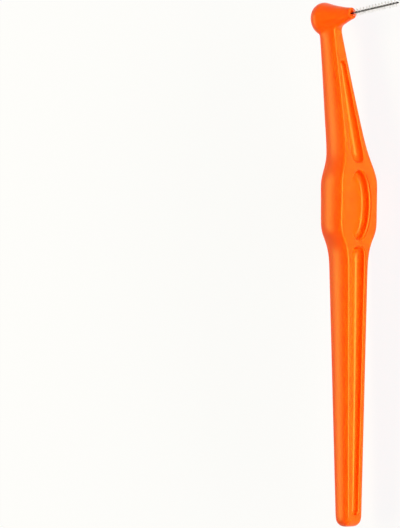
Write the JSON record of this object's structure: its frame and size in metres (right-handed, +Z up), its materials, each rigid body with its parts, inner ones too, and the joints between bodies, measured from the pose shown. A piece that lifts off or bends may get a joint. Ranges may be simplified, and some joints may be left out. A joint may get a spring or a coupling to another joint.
{
  "type": "interdental brush",
  "caption": "Angled interdental brush: waisted plastic grip with a long shank, leaning neck and cone-shaped head holding a twisted-wire brush.",
  "frame": {"origin": "centre of the overall box, at its lowest level", "axes": "+Y along the shank towards the head, +X the way the wire points, +Z up with the brush lying on a side of its grip"},
  "size_m": [0.025, 0.1204, 0.0139],
  "materials": {
    "handle_plastic": "semi-gloss moulded, orange",
    "wire_steel": "drawn",
    "wire_coat": "satin",
    "filament_nylon": "translucent, pale"
  },
  "bodies": {
    "root": {"handle": "handle_plastic", "wire_core": "wire_steel", "wire_coating": "wire_coat", "tuft_01": "filament_nylon", "tuft_02": "filament_nylon", "tuft_03": "filament_nylon", "tuft_04": "filament_nylon", "tuft_05": "filament_nylon", "tuft_06": "filament_nylon", "tuft_07": "filament_nylon", "tuft_08": "filament_nylon", "tuft_09": "filament_nylon", "tuft_10": "filament_nylon", "tuft_11": "filament_nylon", "tuft_12": "filament_nylon", "tuft_13": "filament_nylon", "tuft_14": "filament_nylon"}
  },
  "joints": []
}
